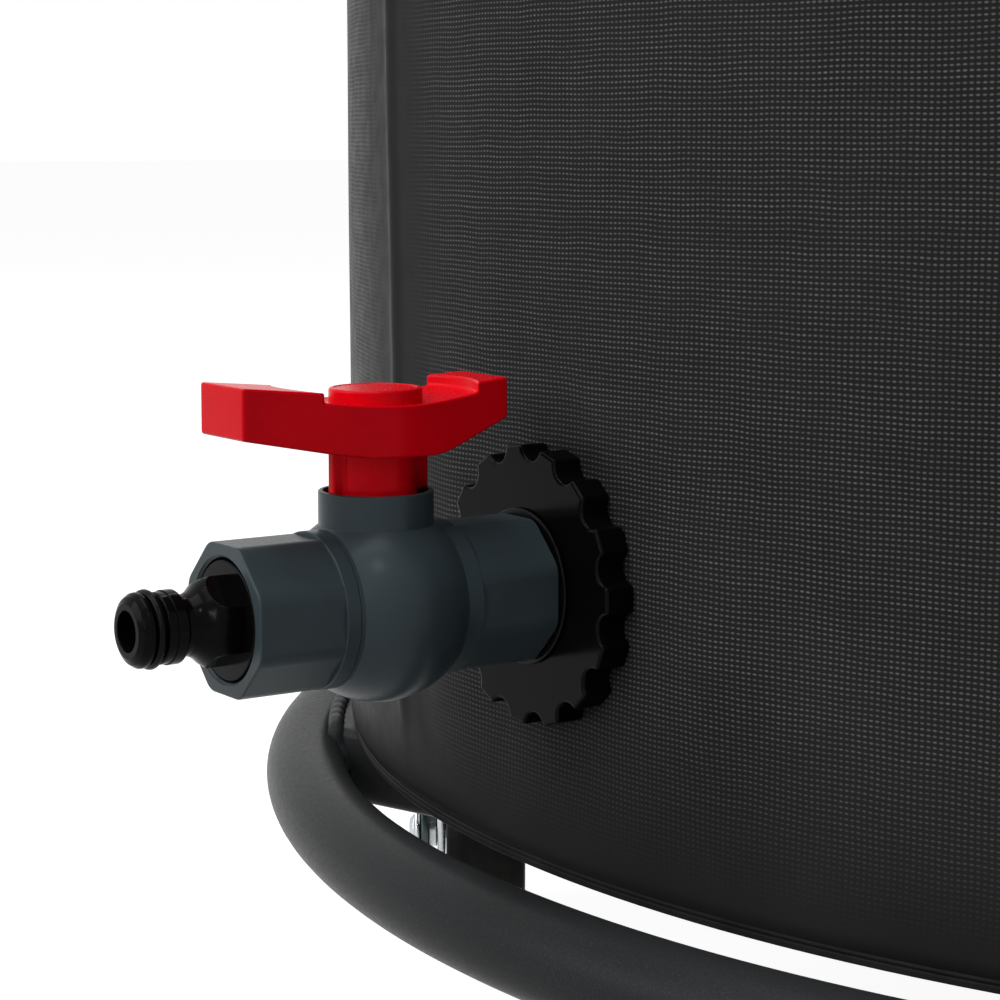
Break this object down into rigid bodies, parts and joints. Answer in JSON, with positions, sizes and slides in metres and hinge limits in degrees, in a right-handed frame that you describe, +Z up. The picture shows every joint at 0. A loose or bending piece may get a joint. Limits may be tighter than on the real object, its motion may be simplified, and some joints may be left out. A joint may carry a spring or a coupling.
{
  "type": "wheeled water butt",
  "caption": "Round fabric water butt on a ring frame with castors, with a ball valve and hose nose at its foot, a cover with a strainer, and an overflow.",
  "frame": {"origin": "on the ground, under the middle of the whole outline; the tank's axis is 38.85 mm from it along +Y", "axes": "+Z up along the tank; -Y outwards along the valve and its hose nose"},
  "size_m": [0.647, 0.7246, 0.8055],
  "materials": {
    "powder_coated_steel": "black powder coat, satin",
    "zinc_plated_steel": "bright zinc plate",
    "wheel_nylon": "moulded grey nylon",
    "tyre_rubber": "black rubber",
    "coated_fabric": "black coated scrim fabric with its threads showing",
    "white_plastic": "plain white plastic",
    "grey_pvc": "dark slate grey moulded PVC",
    "red_plastic": "red moulded plastic",
    "black_plastic": "black moulded plastic",
    "seal_rubber": "black seal rubber"
  },
  "bodies": {
    "root": {"frame_ring": "powder_coated_steel", "frame_bar_1": "powder_coated_steel", "frame_bar_2": "powder_coated_steel", "frame_bar_3": "powder_coated_steel", "frame_bar_4": "powder_coated_steel", "tank_shell": "coated_fabric", "tank_top_hoop": "white_plastic", "tank_rod_1": "white_plastic", "tank_rod_2": "white_plastic", "tank_rod_3": "white_plastic", "tank_rod_4": "white_plastic", "tank_rod_5": "white_plastic", "tank_rod_6": "white_plastic", "overflow_spigot": "black_plastic", "overflow_nut": "black_plastic", "outlet_bush": "black_plastic", "outlet_inner_seal": "seal_rubber", "outlet_flange_nut": "black_plastic", "outlet_outer_seal": "seal_rubber", "valve_body": "grey_pvc", "valve_end_socket": "grey_pvc", "valve_rear_seat": "white_plastic", "valve_front_seat": "white_plastic", "hose_nipple": "black_plastic", "hose_nipple_seal": "seal_rubber", "castor_1_tab": "powder_coated_steel", "castor_1_stem": "zinc_plated_steel", "castor_1_stem_nut": "zinc_plated_steel", "castor_2_tab": "powder_coated_steel", "castor_2_stem": "zinc_plated_steel", "castor_2_stem_nut": "zinc_plated_steel", "castor_3_tab": "powder_coated_steel", "castor_3_stem": "zinc_plated_steel", "castor_3_stem_nut": "zinc_plated_steel", "castor_4_tab": "powder_coated_steel", "castor_4_stem": "zinc_plated_steel", "castor_4_stem_nut": "zinc_plated_steel"},
    "castor_1_swivel": {"castor_1_fork": "zinc_plated_steel", "castor_1_axle": "zinc_plated_steel"},
    "castor_1_wheel": {"castor_1_wheel_core": "wheel_nylon", "castor_1_tyre": "tyre_rubber"},
    "castor_1_brake": {"castor_1_brake_lever": "zinc_plated_steel"},
    "castor_2_swivel": {"castor_2_fork": "zinc_plated_steel", "castor_2_axle": "zinc_plated_steel"},
    "castor_2_wheel": {"castor_2_wheel_core": "wheel_nylon", "castor_2_tyre": "tyre_rubber"},
    "castor_2_brake": {"castor_2_brake_lever": "zinc_plated_steel"},
    "castor_3_swivel": {"castor_3_fork": "zinc_plated_steel", "castor_3_axle": "zinc_plated_steel"},
    "castor_3_wheel": {"castor_3_wheel_core": "wheel_nylon", "castor_3_tyre": "tyre_rubber"},
    "castor_4_swivel": {"castor_4_fork": "zinc_plated_steel", "castor_4_axle": "zinc_plated_steel"},
    "castor_4_wheel": {"castor_4_wheel_core": "wheel_nylon", "castor_4_tyre": "tyre_rubber"},
    "valve_lever": {"valve_handle": "red_plastic", "valve_stem": "white_plastic", "valve_ball": "white_plastic"},
    "cover": {"cover": "coated_fabric"},
    "strainer": {"strainer": "black_plastic"}
  },
  "joints": [
    {"name": "castor_1_swivel_turn", "type": "hinge", "parent": "root", "child": "castor_1_swivel", "pos_m": [-0.24067, -0.11566, 0.0643], "axis": [0, 0, 1], "continuous": true},
    {"name": "castor_1_wheel_spin", "type": "hinge", "parent": "castor_1_swivel", "child": "castor_1_wheel", "pos_m": [-0.25887, -0.10329, 0.03], "axis": [-0.5621, -0.8271, 0], "continuous": true},
    {"name": "castor_1_brake_press", "type": "hinge", "parent": "castor_1_swivel", "child": "castor_1_brake", "pos_m": [-0.25887, -0.10329, 0.03], "axis": [-0.5621, -0.8271, 0], "range_deg": [0, 18]},
    {"name": "castor_2_swivel_turn", "type": "hinge", "parent": "root", "child": "castor_2_swivel", "pos_m": [0.15451, -0.20182, 0.0643], "axis": [0, 0, 1], "continuous": true},
    {"name": "castor_2_wheel_spin", "type": "hinge", "parent": "castor_2_swivel", "child": "castor_2_wheel", "pos_m": [0.13631, -0.18946, 0.03], "axis": [-0.5621, -0.8271, 0], "continuous": true},
    {"name": "castor_2_brake_press", "type": "hinge", "parent": "castor_2_swivel", "child": "castor_2_brake", "pos_m": [0.13631, -0.18946, 0.03], "axis": [-0.5621, -0.8271, 0], "range_deg": [0, 18]},
    {"name": "castor_3_swivel_turn", "type": "hinge", "parent": "root", "child": "castor_3_swivel", "pos_m": [0.24067, 0.19336, 0.0643], "axis": [0, 0, 1], "continuous": true},
    {"name": "castor_3_wheel_spin", "type": "hinge", "parent": "castor_3_swivel", "child": "castor_3_wheel", "pos_m": [0.22248, 0.20572, 0.03], "axis": [-0.5621, -0.8271, 0], "continuous": true},
    {"name": "castor_4_swivel_turn", "type": "hinge", "parent": "root", "child": "castor_4_swivel", "pos_m": [-0.15451, 0.27952, 0.0643], "axis": [0, 0, 1], "continuous": true},
    {"name": "castor_4_wheel_spin", "type": "hinge", "parent": "castor_4_swivel", "child": "castor_4_wheel", "pos_m": [-0.1727, 0.29189, 0.03], "axis": [-0.5621, -0.8271, 0], "continuous": true},
    {"name": "valve_turn", "type": "hinge", "parent": "root", "child": "valve_lever", "pos_m": [0, -0.30445, 0.1662], "axis": [0, 0, 1], "range_deg": [0, 90]},
    {"name": "cover_lift", "type": "slide", "parent": "root", "child": "cover", "axis": [0, 0, 1], "range_m": [0, 0.3]},
    {"name": "strainer_lift", "type": "slide", "parent": "cover", "child": "strainer", "axis": [0, 0, 1], "range_m": [0, 0.15]}
  ]
}
